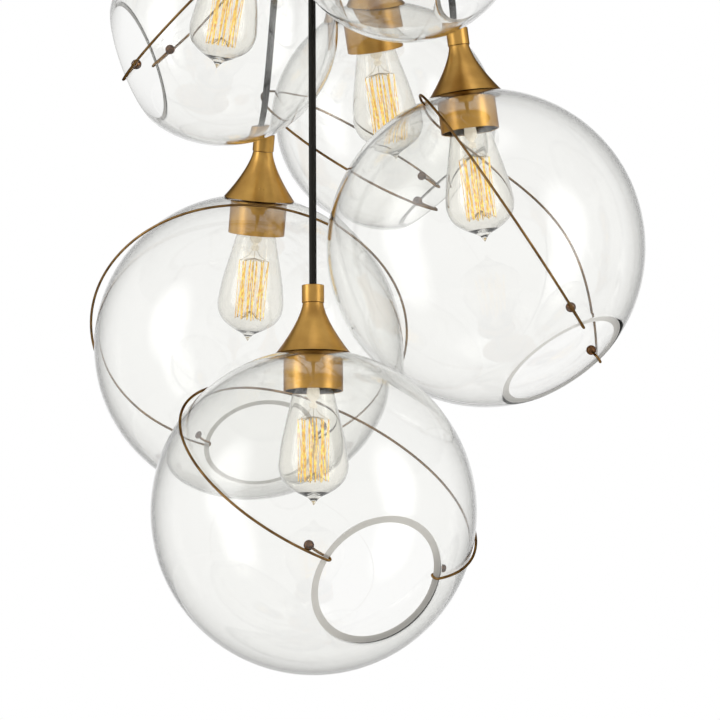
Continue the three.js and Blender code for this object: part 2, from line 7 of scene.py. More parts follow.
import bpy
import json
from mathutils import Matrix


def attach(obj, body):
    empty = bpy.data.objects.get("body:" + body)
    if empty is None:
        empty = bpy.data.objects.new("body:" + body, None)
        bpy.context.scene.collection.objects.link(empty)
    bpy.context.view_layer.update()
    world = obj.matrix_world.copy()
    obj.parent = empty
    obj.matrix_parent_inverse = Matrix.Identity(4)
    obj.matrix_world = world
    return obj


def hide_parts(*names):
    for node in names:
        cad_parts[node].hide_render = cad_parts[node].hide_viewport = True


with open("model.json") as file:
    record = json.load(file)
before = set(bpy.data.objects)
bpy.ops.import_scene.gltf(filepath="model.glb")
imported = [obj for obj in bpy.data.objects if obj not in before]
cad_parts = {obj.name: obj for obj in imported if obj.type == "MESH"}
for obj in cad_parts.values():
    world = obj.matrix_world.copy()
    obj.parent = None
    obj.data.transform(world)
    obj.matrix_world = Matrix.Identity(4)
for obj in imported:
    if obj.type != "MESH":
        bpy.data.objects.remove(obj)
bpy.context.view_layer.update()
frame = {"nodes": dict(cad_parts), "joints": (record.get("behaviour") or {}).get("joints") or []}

# %% Tools of the trade
import json
import math

import bmesh
import bpy
from mathutils import Matrix, Vector

scene = bpy.context.scene
scene.view_settings.view_transform = "Standard"

# %% [markdown]
# ## The camera
# The photograph was taken from far off with a long lens, looking level at the globes, so that the
# canopy is above the picture. A short lens close by would frame the same, but it would draw the
# outer globes as eggs, and a long lens keeps them round.

# %% Camera
EYE = (0.010, -4.285, -0.680)
LENS = 222.3
SENSOR = 36.0
LEVEL_VIEW = (math.pi / 2, 0, 0)
FAR_CLIP = 60

camera_data = bpy.data.cameras.new("camera")
camera_data.lens = LENS
camera_data.sensor_width = SENSOR
camera_data.clip_end = FAR_CLIP
camera = bpy.data.objects.new("camera", camera_data)
camera.location = EYE
camera.rotation_euler = LEVEL_VIEW
scene.collection.objects.link(camera)
scene.camera = camera
print("camera: half a view is", round(math.degrees(math.atan(SENSOR / 2 / LENS)), 2), "degrees")

# %% [markdown]
# ## The six drops
# A drop is one globe with its cord, brass head and bulb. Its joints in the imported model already
# say where it hangs: the swing's point is the cord's stop in the canopy, and the turn's point and
# axis are the globe's centre and the line of its cord. Only what the joints don't say is given
# here: the globe's radius, where its mouth points, and how its hoop lies over the mouth. The line
# from hook to hook, its shift off the mouth's middle, a share of the mouth's radius, and the
# hoop's lean in degrees place it. Slack is its far clearance and bow how far its rear side bends
# out of the hoop's plane, both as a share of the globe's radius.

# %% Drops
LARGE = 0.1525
SMALL = 0.111
DROPS = [
    {"name": "front_low", "radius": LARGE, "mouth": (0.42, -0.8, -0.42),
     "hooks": (0.84, 0.52, -0.17), "aside": 0.22, "lean": 9.5, "slack": 0.024},
    {"name": "rear_left", "radius": LARGE, "mouth": (0.06, 0.73, -0.68),
     "hooks": (1, -0.05, 0.03), "aside": -0.04, "lean": -8, "slack": 0.06},
    {"name": "right", "radius": LARGE, "mouth": (0.51, -0.37, -0.78),
     "hooks": (0.2, 0.93, -0.31), "aside": 0.54, "lean": -1, "slack": 0.035, "bow": 0.33},
    {"name": "upper_left", "radius": SMALL, "mouth": (-0.92, 0.23, -0.32),
     "hooks": (0.19, 0.97, 0.17), "aside": 0.14, "lean": -25, "slack": 0.19},
    {"name": "rear_right", "radius": SMALL, "mouth": (0.66, 0.15, -0.74),
     "hooks": (-0.02, 0.95, 0.3), "aside": -0.25, "lean": -19, "slack": 0.12},
    {"name": "top_front", "radius": SMALL, "mouth": (0.78, 0.5, -0.38),
     "hooks": (-0.5, 0.85, 0.1), "aside": 0.1, "lean": 10, "slack": 0.2},
]
joints = {joint["name"]: joint for joint in frame["joints"]}
for drop in DROPS:
    swing = joints[drop["name"] + "_swing"]
    turn = joints[drop["name"] + "_turn"]
    drop["stop"] = Vector(swing["pos_m"])
    drop["centre"] = Vector(turn["pos_m"])
    drop["up"] = Vector(turn["axis"]).normalized()
    turned = Vector((0, 0, 1)).rotation_difference(drop["up"]).to_matrix().to_4x4()
    drop["place"] = Matrix.Translation(drop["centre"]) @ turned
    hang = (drop["stop"] - drop["centre"]).length
    print(drop["name"], "hangs", round(hang, 3), "m below its stop")

# %% [markdown]
# ## Levels on a drop
# Everything on a drop is stacked along its cord, so the stack is worked out once from the globe:
# the cap sits on the glass round the neck hole, the cup presses up against the glass from inside,
# and the collar grips the cord on top of the cap. Each height could be typed in by hand, but then
# a new globe size would leave gaps: worked out from the sphere, every piece keeps its seat.

# %% Stack of sizes
WALL = 0.0032
SEAT_GAP = 0.0003
CUP_GAP = 6 * SEAT_GAP
CAP_RIM = 0.035
CAP_WALL = 0.0012
CAP_TOP = 0.0098
CAP_HEIGHT = 0.0472
CAP_FLARE = 1.45
CUP = 0.028
CUP_HEIGHT = 0.0315
CUP_WALL = 0.0014
COLLAR = 0.0105
COLLAR_LENGTH = 0.0168
CORD = 0.0035
CORD_SEAT = 0.009
BULB = 0.0329
BULB_DROP = 0.109


def stack(radius):
    rim = math.sqrt(radius ** 2 - (CAP_RIM - CAP_WALL) ** 2) + SEAT_GAP
    cup_top = math.sqrt((radius - WALL) ** 2 - CUP ** 2) - CUP_GAP
    cap_top = rim + CAP_HEIGHT
    collar_top = cap_top + SEAT_GAP + COLLAR_LENGTH
    return {"rim": rim, "cup_top": cup_top, "cup_bottom": cup_top - CUP_HEIGHT,
            "cap_top": cap_top, "collar_top": collar_top}


for drop in DROPS:
    drop["at"] = stack(drop["radius"])
print("large stack:", {key: round(value, 4) for key, value in DROPS[0]["at"].items()})

# %% [markdown]
# ## The cords
# A cord here is a plain round flex. It carries its globe, so it hangs taut and straight, and it
# was cut to the length between the stop bead in the canopy and the seat in the collar. Sixteen
# points along the line are plenty, because the line never bends. The thickness sits in each
# point's own radius, which Blender also adds to a curve's bounding box: left at its usual 1 m, it
# would make the lamp look 2 m too large.

# %% Cords
CORD_POINTS = 16


def cord_route(drop):
    foot = drop["centre"] + drop["up"] * (drop["at"]["collar_top"] - CORD_SEAT + SEAT_GAP)
    return [drop["stop"].lerp(foot, i / (CORD_POINTS - 1)) for i in range(CORD_POINTS)]


cords = {}
for drop in DROPS:
    route = cord_route(drop)
    curve = bpy.data.curves.new(drop["name"] + "_flex", "CURVE")
    curve.dimensions = "3D"
    curve.bevel_depth = 1.0
    curve.bevel_resolution = 6
    curve.use_fill_caps = True
    spline = curve.splines.new("POLY")
    spline.points.add(CORD_POINTS - 1)
    for point, place in zip(spline.points, route):
        point.co = (*place, 1)
        point.radius = CORD
    flex = bpy.data.objects.new(drop["name"] + "_flex", curve)
    scene.collection.objects.link(flex)
    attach(flex, drop["name"] + "_drop")
    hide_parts(drop["name"] + "_cord")
    cords[drop["name"]] = flex

# %% [markdown]
# ## Shared effects for the finishes
# Aged metal is never one even colour: it darkens in soft clouds and gets a fine grain from being
# turned on a lathe. Painted pictures could show that too, but they need a layout for each piece.
# Noise that is worked out in space fits any shape, so both effects are made once, in one node
# group, and every metal finish uses it with its own values. It reads object coordinates, which
# stay put when a piece moves.


# %% Node helpers
def add(tree, kind, **settings):
    node = tree.nodes.new(kind)
    for key, value in settings.items():
        setattr(node, key, value)
    return node


def new_group(name, inputs, outputs):
    group = bpy.data.node_groups.new(name, "ShaderNodeTree")
    for label, kind, value in inputs:
        socket = group.interface.new_socket(label, in_out="INPUT", socket_type=kind)
        socket.default_value = value
    for label, kind in outputs:
        group.interface.new_socket(label, in_out="OUTPUT", socket_type=kind)
    return group, add(group, "NodeGroupInput"), add(group, "NodeGroupOutput")


def mix_colour(tree, factor, dark, light):
    """Mixes two colours; a Mix node has its colours at inputs 6 and 7 and at output 2."""
    mix = add(tree, "ShaderNodeMix", data_type="RGBA")
    for socket, value in ((mix.inputs[0], factor), (mix.inputs[6], dark), (mix.inputs[7], light)):
        if isinstance(value, bpy.types.NodeSocket):
            tree.links.new(value, socket)
        else:
            socket.default_value = value
    return mix.outputs[2]


def scaled(tree, value, low, high):
    ranged = add(tree, "ShaderNodeMapRange")
    tree.links.new(value, ranged.inputs["Value"])
    ranged.inputs["To Min"].default_value = low
    ranged.inputs["To Max"].default_value = high
    return ranged.outputs["Result"]


def eased(tree, value, start, end, low, high):
    """Goes softly from low to high while the value goes from start to end."""
    ranged = add(tree, "ShaderNodeMapRange", interpolation_type="SMOOTHSTEP")
    tree.links.new(value, ranged.inputs["Value"])
    for key, amount in (("From Min", start), ("From Max", end), ("To Min", low), ("To Max", high)):
        ranged.inputs[key].default_value = amount
    return ranged.outputs["Result"]


def combined(tree, operation, first, second):
    node = add(tree, "ShaderNodeMath", operation=operation)
    tree.links.new(first, node.inputs[0])
    tree.links.new(second, node.inputs[1])
    return node.outputs[0]


def placed(tree, group, **values):
    """Puts a shared group into a finish, with its own values."""
    node = add(tree, "ShaderNodeGroup", node_tree=group)
    for key, value in values.items():
        node.inputs[key.replace("_", " ")].default_value = value
    return node


def relief(tree, shader, height, strength, depth):
    bump = add(tree, "ShaderNodeBump")
    bump.inputs["Strength"].default_value = strength
    bump.inputs["Distance"].default_value = depth
    tree.links.new(height, bump.inputs["Height"])
    tree.links.new(bump.outputs["Normal"], shader.inputs["Normal"])


# %% Aged metal
TURNING_GRAIN = 900
CLOUD_LOW, CLOUD_HIGH = -0.6, 1.5


def make_aged_metal():
    group, given, out = new_group(
        "aged metal",
        [("Light", "NodeSocketColor", (1, 1, 1, 1)), ("Dark", "NodeSocketColor", (0, 0, 0, 1)),
         ("Cloud Scale", "NodeSocketFloat", 30), ("Smooth", "NodeSocketFloat", 0.3),
         ("Rough", "NodeSocketFloat", 0.5)],
        [("Colour", "NodeSocketColor"), ("Roughness", "NodeSocketFloat"),
         ("Grain", "NodeSocketFloat")])
    link = group.links.new
    place = add(group, "ShaderNodeTexCoord").outputs["Object"]
    cloud = add(group, "ShaderNodeTexNoise")
    cloud.inputs["Detail"].default_value = 5
    link(place, cloud.inputs["Vector"])
    link(given.outputs["Cloud Scale"], cloud.inputs["Scale"])
    grain = add(group, "ShaderNodeTexNoise")
    grain.inputs["Scale"].default_value = TURNING_GRAIN
    grain.inputs["Detail"].default_value = 2
    link(place, grain.inputs["Vector"])
    mask = scaled(group, cloud.outputs["Fac"], CLOUD_LOW, CLOUD_HIGH)
    colour = mix_colour(group, mask, given.outputs["Dark"], given.outputs["Light"])
    link(colour, out.inputs["Colour"])
    rough = add(group, "ShaderNodeMix", data_type="FLOAT")
    link(mask, rough.inputs[0])
    link(given.outputs["Rough"], rough.inputs[2])
    link(given.outputs["Smooth"], rough.inputs[3])
    link(rough.outputs[0], out.inputs["Roughness"])
    link(grain.outputs["Fac"], out.inputs["Grain"])
    return group


AGED_METAL = make_aged_metal()
print("group:", AGED_METAL.name)


# %% Metal finishes
def finish_of(name, **values):
    material = bpy.data.materials.new(name)
    material.use_nodes = True
    shader = material.node_tree.nodes["Principled BSDF"]
    for key, value in values.items():
        shader.inputs[key.replace("_", " ")].default_value = value
    return material, material.node_tree, shader


METAL_TINT = (0.30, 0.24, 0.18, 1)
LACQUER_ROUGHNESS = 0.22
GRAIN_DEPTH = 0.0004


def metal(name, light, dark, clouds, smooth, rough, bump, lacquer=0.0):
    material, tree, shader = finish_of(name, Metallic=1.0, Specular_Tint=METAL_TINT,
                                       Coat_Weight=lacquer, Coat_Roughness=LACQUER_ROUGHNESS)
    aged = placed(tree, AGED_METAL, Light=light, Dark=dark, Cloud_Scale=clouds, Smooth=smooth,
                  Rough=rough)
    tree.links.new(aged.outputs["Colour"], shader.inputs["Base Color"])
    tree.links.new(aged.outputs["Roughness"], shader.inputs["Roughness"])
    relief(tree, shader, aged.outputs["Grain"], bump, GRAIN_DEPTH)
    return material


BRASS = metal("aged brass", (0.66, 0.38, 0.09, 1), (0.40, 0.205, 0.04, 1),
              34, 0.26, 0.38, 0.10, 0.35)
WIRE = metal("brass wire", (0.36, 0.21, 0.075, 1), (0.11, 0.06, 0.025, 1), 60, 0.24, 0.42, 0.05)
BRONZE = metal("dark bronze", (0.20, 0.10, 0.045, 1), (0.05, 0.026, 0.015, 1), 90, 0.24, 0.4, 0.05)
STEEL = metal("zinc steel", (0.60, 0.60, 0.59, 1), (0.42, 0.42, 0.42, 1), 40, 0.35, 0.5, 0.1)
BASE_METAL = metal("bulb base", (0.66, 0.55, 0.36, 1), (0.42, 0.33, 0.2, 1), 40, 0.3, 0.4, 0.05)
print("metals:", BRASS.name, WIRE.name, BRONZE.name, STEEL.name, BASE_METAL.name)

# %% [markdown]
# ## Glass
# The globes are real shells with two faces, so light bends twice on its way through. Each glass
# has one colour where its surface is seen head-on and a second where it is seen at a low angle:
# on the globes, bulbs and stems that second colour is painted shade, which draws their dark
# edges, and on the ground lip it is a painted pale sheen. A single face that is simply made
# see-through would be quicker to render, but it would have no wall. No blown wall is quite even,
# so a slow ripple, shared by every glass here, bends the light a little more. The matt lip and the
# bulb's stem stand inside other glass, which keeps most of the light off them in a render, so each
# gets a little glow of its own in place of that light.


# %% Ripple of blown glass
def make_ripple():
    group, given, out = new_group("blown ripple", [("Scale", "NodeSocketFloat", 9)],
                                  [("Height", "NodeSocketFloat")])
    place = add(group, "ShaderNodeTexCoord").outputs["Object"]
    wave = add(group, "ShaderNodeTexNoise")
    wave.inputs["Detail"].default_value = 1
    group.links.new(place, wave.inputs["Vector"])
    group.links.new(given.outputs["Scale"], wave.inputs["Scale"])
    group.links.new(wave.outputs["Fac"], out.inputs["Height"])
    return group


RIPPLE = make_ripple()


# %% Glass finishes
GLASS_IOR = 1.46
RIPPLE_DEPTH = 0.002


def glass(name, clear, painted_grazing_tone, turn, ripple_scale, ripple, roughness=0.0, through=1.0):
    """Glass that turns to a painted tone at low angles; a higher turn keeps more of it clear."""
    material, tree, shader = finish_of(name, Roughness=roughness, IOR=GLASS_IOR,
                                       Transmission_Weight=through)
    # The facing angle, raised to the turn, masks where the painted tone lies.
    angle = add(tree, "ShaderNodeLayerWeight")
    angle.inputs["Blend"].default_value = 0.5
    low = add(tree, "ShaderNodeMath", operation="POWER")
    low.inputs[1].default_value = turn
    tree.links.new(angle.outputs["Facing"], low.inputs[0])
    tree.links.new(mix_colour(tree, low.outputs[0], clear, painted_grazing_tone), shader.inputs["Base Color"])
    wave = placed(tree, RIPPLE, Scale=ripple_scale)
    relief(tree, shader, wave.outputs["Height"], ripple, RIPPLE_DEPTH)
    return material


def own_glow(material, tint, strength):
    sockets = material.node_tree.nodes["Principled BSDF"].inputs
    sockets["Emission Color"].default_value = tint
    sockets["Emission Strength"].default_value = strength


# Second colours are painted at low angles: painted shade on the edges of globes, bulbs and stems,
# and a painted pale sheen on the ground lip.
GLOBE_GLASS = glass("blown glass", (0.965, 0.965, 0.952, 1), (0.20, 0.195, 0.18, 1),
                    5.0, 9, 0.10)
LIP_GLASS = glass("ground lip", (0.36, 0.34, 0.30, 1), (0.80, 0.785, 0.74, 1),
                  1.5, 60, 0.12, 0.36, 0.5)
BULB_GLASS = glass("bulb glass", (0.965, 0.955, 0.925, 1), (0.03, 0.028, 0.022, 1),
                   4.0, 14, 0.05)
STEM_GLASS = glass("stem glass", (0.95, 0.92, 0.85, 1), (0.30, 0.27, 0.22, 1),
                   3.0, 90, 0.10, 0.05, 0.3)
own_glow(STEM_GLASS, (1, 0.94, 0.82, 1), 0.3)
own_glow(LIP_GLASS, (1, 0.98, 0.94, 1), 0.12)
print("glass:", GLOBE_GLASS.name, LIP_GLASS.name, BULB_GLASS.name, STEM_GLASS.name)

# %% [markdown]
# ## Cord, plastic and filament
# The cord's braid, the lampholders' moulded plastic and the terminal block are all matt with a
# fine grain, which is far too small to model thread by thread. One more group makes that grain,
# and only its scale and depth differ. The filament is lit, so its colour is also its glow, deeper
# in some places than in others because a thin wire never heats evenly.

# %% Fine grain
def make_grain():
    group, given, out = new_group(
        "fine grain",
        [("Light", "NodeSocketColor", (1, 1, 1, 1)), ("Dark", "NodeSocketColor", (0, 0, 0, 1)),
         ("Scale", "NodeSocketFloat", 300)],
        [("Colour", "NodeSocketColor"), ("Height", "NodeSocketFloat")])
    grain = add(group, "ShaderNodeTexNoise")
    grain.inputs["Detail"].default_value = 3
    group.links.new(add(group, "ShaderNodeTexCoord").outputs["Object"], grain.inputs["Vector"])
    group.links.new(given.outputs["Scale"], grain.inputs["Scale"])
    mixed = mix_colour(group, grain.outputs["Fac"], given.outputs["Dark"], given.outputs["Light"])
    group.links.new(mixed, out.inputs["Colour"])
    group.links.new(grain.outputs["Fac"], out.inputs["Height"])
    return group


FINE_GRAIN = make_grain()


# %% Cord, plastic and filament finishes
WEAVE_DEPTH = 0.0003


def grainy(name, light, dark, scale, roughness, bump, shine):
    material, tree, shader = finish_of(name, Roughness=roughness, Specular_IOR_Level=shine)
    grain = placed(tree, FINE_GRAIN, Light=light, Dark=dark, Scale=scale)
    tree.links.new(grain.outputs["Colour"], shader.inputs["Base Color"])
    relief(tree, shader, grain.outputs["Height"], bump, WEAVE_DEPTH)
    return material


CORD_BLACK = grainy("black flex", (0.020, 0.018, 0.013, 1), (0.003, 0.003, 0.002, 1),
                    700, 0.5, 0.35, 0.16)
HOLDER_BLACK = grainy("phenolic black", (0.018, 0.017, 0.015, 1), (0.006, 0.006, 0.005, 1),
                      300, 0.4, 0.1, 0.3)
BLOCK_WHITE = grainy("terminal white", (0.74, 0.72, 0.66, 1), (0.62, 0.60, 0.55, 1),
                     200, 0.5, 0.1, 0.5)

# %% Filament's glow
COOLER = (0.50, 0.32, 0.10)
GLOW_PATCHES = 260


def glowing(name, colour, strength):
    material, tree, shader = finish_of(name, Roughness=0.4, Emission_Strength=strength)
    warm = add(tree, "ShaderNodeTexNoise")
    warm.inputs["Scale"].default_value = GLOW_PATCHES
    tree.links.new(add(tree, "ShaderNodeTexCoord").outputs["Object"], warm.inputs["Vector"])
    deep = tuple(part * share for part, share in zip(colour, COOLER)) + (1,)
    glow = mix_colour(tree, scaled(tree, warm.outputs["Fac"], -1.0, 1.7), deep, colour)
    tree.links.new(glow, shader.inputs["Base Color"])
    tree.links.new(glow, shader.inputs["Emission Color"])
    return material


FILAMENT = glowing("lit filament", (1.0, 0.78, 0.13, 1), 1.0)
for flex in cords.values():
    flex.data.materials.append(CORD_BLACK)
print("other finishes:", CORD_BLACK.name, HOLDER_BLACK.name, BLOCK_WHITE.name, FILAMENT.name)

# %% [markdown]
# ## Turned pieces
# The cap, cup, collar, lampholder and the bulb's glass are all round about the cord, so each is an
# outline spun once round, as it would be on a lathe. The outline is drawn as (radius, height). A
# stack of cylinders and cones would do for the straight pieces, but not for a flare or a bulb.

# %% Lathe
ROUND = 96
SAME_SPOT = 1e-6


def outline_mesh(outline, closed):
    bm = bmesh.new()
    corners = [bm.verts.new((max(r, 0), 0, z)) for r, z in outline]
    pairs = list(zip(corners, corners[1:]))
    if closed:
        pairs.append((corners[-1], corners[0]))
    for pair in pairs:
        bm.edges.new(pair)
    return bm


def lathe(outline, closed=False, steps=ROUND):
    bm = outline_mesh(outline, closed)
    bmesh.ops.spin(bm, geom=bm.verts[:] + bm.edges[:], cent=(0, 0, 0), axis=(0, 0, 1),
                   angle=2 * math.pi, steps=steps, use_merge=True)
    bmesh.ops.remove_doubles(bm, verts=bm.verts[:], dist=SAME_SPOT)
    bmesh.ops.recalc_face_normals(bm, faces=bm.faces[:])
    return bm


def place_piece(name, bm, material, body, nodes, place=None, sharp=40):
    """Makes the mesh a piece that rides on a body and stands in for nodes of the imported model."""
    if place is not None:
        bm.transform(place)
    mesh = bpy.data.meshes.new(name)
    bm.to_mesh(mesh)
    bm.free()
    for polygon in mesh.polygons:
        polygon.use_smooth = True
    mesh.set_sharp_from_angle(angle=math.radians(sharp))
    mesh.materials.append(material)
    piece = bpy.data.objects.new(name, mesh)
    scene.collection.objects.link(piece)
    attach(piece, body)
    if nodes:
        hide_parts(*nodes)
    return piece


def arc(middle, radius, start, end, steps):
    """Corners of an outline along an arc, from start to end in degrees."""
    corners = []
    for i in range(steps + 1):
        angle = math.radians(start + (end - start) * i / steps)
        corners.append((middle[0] + radius * math.cos(angle), middle[1] + radius * math.sin(angle)))
    return corners


print("lathe:", ROUND, "steps a turn")

# %% [markdown]
# ## The brass head
# The cap is a spun trumpet: narrow under the collar, and flaring ever faster to a thin rim that
# sits on the glass. The cup inside the globe is a plain turned shell with softened edges, and its
# inside takes the lampholders' black finish: painted shade in its hollow, which also keeps the
# bulb's base from showing. The collar is a short cylinder with a hairline gap below it, which
# shows as a dark line. Each edge of the cup and the collar gets two short cuts in the outline
# itself, which is lighter than a bevel on the spun mesh and still catches the light.

# %% Cap, cup and collar
CAP_STEPS = 28
EDGE = 0.0004
NEARLY_HALF = 0.45
CORD_HOLE = 0.0053
CORD_PLAY = 0.00045
CORD_LEDGE = 0.001
COLLAR_RECESS = 0.0056
CUP_WEB = 0.002
CUP_WEB_LEVEL = 0.016
CUP_WEB_HOLE = 0.0173


def cap_outline(at):
    outside, inside = [], []
    for i in range(CAP_STEPS + 1):
        share = i / CAP_STEPS
        r = CAP_TOP + (CAP_RIM - CAP_TOP) * share ** CAP_FLARE
        z = at["cap_top"] - CAP_HEIGHT * share
        outside.append((r, z))
        inside.insert(0, (r - CAP_WALL, min(z, at["cap_top"] - CAP_WALL)))
    under = at["cap_top"] - CAP_WALL
    return outside + inside + [(CORD_HOLE, under), (CORD_HOLE, at["cap_top"])]


def softened(corners):
    """Cuts each corner of a closed outline, and never by more than nearly half of a side."""
    soft = []
    for i, corner in enumerate(corners):
        here = Vector(corner)
        for other in (corners[i - 1], corners[(i + 1) % len(corners)]):
            way = Vector(other) - here
            soft.append(tuple(here + way * min(NEARLY_HALF, EDGE / way.length)))
    return soft


def cup_outline(at):
    top, bottom = at["cup_top"], at["cup_bottom"]
    inner, web = CUP - CUP_WALL, bottom + CUP_WEB_LEVEL
    return softened([(CUP, top), (CUP, bottom), (inner, bottom), (inner, web),
                     (CUP_WEB_HOLE, web), (CUP_WEB_HOLE, web + CUP_WEB), (inner, web + CUP_WEB),
                     (inner, top)])


def collar_outline(at):
    top, bottom = at["collar_top"], at["collar_top"] - COLLAR_LENGTH
    bore, seat = CORD + CORD_PLAY, top - CORD_SEAT
    return softened([(COLLAR, bottom), (COLLAR, top), (bore, top), (bore, seat),
                     (bore, seat - CORD_LEDGE), (CORD_HOLE, bottom + COLLAR_RECESS),
                     (CORD_HOLE, bottom)])


for drop in DROPS:
    name, at = drop["name"], drop["at"]
    outlines = {"cap": cap_outline(at), "cup": cup_outline(at), "collar": collar_outline(at)}
    for label, outline in outlines.items():
        form = lathe(outline, closed=True)
        for face in form.faces:
            spot = face.calc_center_median()
            # Faces inside the cup take the black finish, as painted shade in its hollow.
            inside = math.hypot(spot.x, spot.y) < CUP - CUP_WALL + EDGE * 0.1
            face.material_index = int(label == "cup" and inside)
        brass = place_piece(f"{name}_brass_{label}", form, BRASS, name + "_drop",
                            [f"{name}_{label}"], drop["place"])
        brass.data.materials.append(HOLDER_BLACK)
print("brass heads:", len(DROPS))

# %% [markdown]
# ## The lampholders
# A lampholder is a moulded plastic sleeve: a bore for the bulb's thread, a flange that rests on
# the cup's web, and a neck that the wires come in through. It is hidden in the cup, but the bulb
# slides out of it, so it is a real sleeve with a real bore and not a solid plug.

# %% Lampholders
HOLDER_BORE = 0.0138
HOLDER_BORE_DEPTH = 0.025
HOLDER_BODY = 0.017
HOLDER_NECK = 0.005
HOLDER_SLOPE = 0.005
HOLDER_ABOVE_RIM = 0.0135
FLANGE = 0.022
FLANGE_HEIGHT = 0.004
FLANGE_LEVEL = 0.0157


def holder_outline(at):
    flange_top = at["cup_bottom"] + FLANGE_LEVEL
    flange_bottom = flange_top - FLANGE_HEIGHT
    bore_top = flange_bottom + HOLDER_BORE_DEPTH
    top = at["rim"] + HOLDER_ABOVE_RIM
    neck_top = at["cap_top"] + HOLDER_NECK
    return [(0, bore_top), (HOLDER_BORE, bore_top), (HOLDER_BORE, flange_bottom),
            (FLANGE, flange_bottom), (FLANGE, flange_top), (HOLDER_BODY, flange_top),
            (HOLDER_BODY, top - HOLDER_SLOPE), (HOLDER_NECK, top), (HOLDER_NECK, neck_top),
            (0, neck_top)]


for drop in DROPS:
    name = drop["name"]
    place_piece(name + "_holder", lathe(holder_outline(drop["at"]), steps=48), HOLDER_BLACK,
                name + "_drop", [name + "_lampholder"], drop["place"], 30)
print("lampholders:", len(DROPS))

# %% [markdown]
# ## The globes
# A globe is blown, then cut open twice: a small round neck on top and a large mouth on one side.
# The mouth is cut flat across and ground, and because the wall meets that cut at a low angle, the
# ground face is more than twice as wide as the wall is thick: it is the grey ring one sees. The
# shell is spun about the mouth's own axis, so the ring is truly round. Spun about the cord it
# would need two booleans, and the mouth's edge would be ragged. Only the neck hole, which the cap
# hides, is cut afterwards with a boolean.

# %% Globes
MOUTH = 0.059
NECK = 0.0215
GLOBE_ROWS = 72
LIP_INSIDE = MOUTH - WALL / 4
LIP_EDGE = 0.001
LIP_TOLERANCE = LIP_EDGE * 0.01


def lip_angle(radius):
    return math.asin((MOUTH + WALL / 2) / (radius - WALL / 2))


def globe_outline(radius):
    """Runs up the outside, over the flat lip and down the inside."""
    level = math.sqrt((radius - WALL) ** 2 - LIP_INSIDE ** 2)
    rows = []
    for face in (radius, radius - WALL):
        start = math.acos(level / face)
        angles = [start + (math.pi - start) * i / GLOBE_ROWS for i in range(GLOBE_ROWS + 1)]
        rows.append([(face * math.sin(a), face * math.cos(a)) for a in angles])
    outer = list(reversed(rows[0]))
    (wide, high), (narrow, _) = outer[-1], rows[1][0]
    outer[-1] = (wide + LIP_EDGE, math.sqrt(radius ** 2 - (wide + LIP_EDGE) ** 2))
    return outer + [(wide - LIP_EDGE, high), (narrow + LIP_EDGE, high)] + rows[1], high


def axes_matrix(x, y, z, at):
    """A place whose own x, y and z lie along three given directions."""
    return Matrix.Translation(at) @ Matrix((x, y, z)).transposed().to_4x4()


def mouth_frame(drop):
    mouth = Vector(drop["mouth"]).normalized()
    neck = (drop["up"] - mouth * drop["up"].dot(mouth)).normalized()
    return axes_matrix(neck, mouth.cross(neck), mouth, drop["centre"])


def carve(piece, cutter_form):
    """Takes a cutter's form out of a piece, and keeps the result as the piece's own mesh."""
    mesh = bpy.data.meshes.new("cutter")
    cutter_form.to_mesh(mesh)
    cutter_form.free()
    cutter = bpy.data.objects.new("cutter", mesh)
    scene.collection.objects.link(cutter)
    cut = piece.modifiers.new("cut", "BOOLEAN")
    cut.operation = "DIFFERENCE"
    cut.solver = "EXACT"
    cut.object = cutter
    whole = piece.evaluated_get(bpy.context.evaluated_depsgraph_get())
    result = bpy.data.meshes.new_from_object(whole)
    piece.modifiers.clear()
    piece.data = result
    bpy.data.objects.remove(cutter)


def neck_cutter(drop):
    rod = bmesh.new()
    bmesh.ops.create_cone(rod, cap_ends=True, segments=ROUND, radius1=NECK, radius2=NECK,
                          depth=drop["radius"])
    rod.transform(drop["place"] @ Matrix.Translation((0, 0, drop["radius"])))
    return rod


for drop in DROPS:
    name = drop["name"]
    outline, level = globe_outline(drop["radius"])
    form = lathe(outline)
    for face in form.faces:
        face.material_index = int(face.calc_center_median().z > level - LIP_TOLERANCE)
    shell = place_piece(name + "_shell", form, GLOBE_GLASS, name + "_glass",
                        [name + "_globe"], mouth_frame(drop), 30)
    shell.data.materials.append(LIP_GLASS)
    bpy.context.view_layer.update()
    carve(shell, neck_cutter(drop))
    print(shell.name, len(shell.data.polygons), "faces")

# %% [markdown]
# ## The hoops
# Each hoop is one length of brass wire. It is hooked over the lip of the mouth at two places, runs
# round the outside of the glass between them, and each end turns back inside the mouth and stops
# in a small ball. A ring with two hooks added would show its joints, so the whole wire is one
# line, worked out in the hoop's own plane, and then swept as a tube. Only a bowed hoop leaves that
# plane, softly, and it is lifted a little there so that it stays clear of the glass.

# %% Hoops
HOOP_WIRE = 0.00125
HOOP_BALL = 0.00475
TAIL = 0.019
TAIL_LIFT = 0.006
HOOK_GAP = 0.0004
TAIL_STEPS = 8
HOOK_STEPS = 14
ARC_STEPS = 60
BOW_LIFT = 0.1
WIRE_SIDES = 12


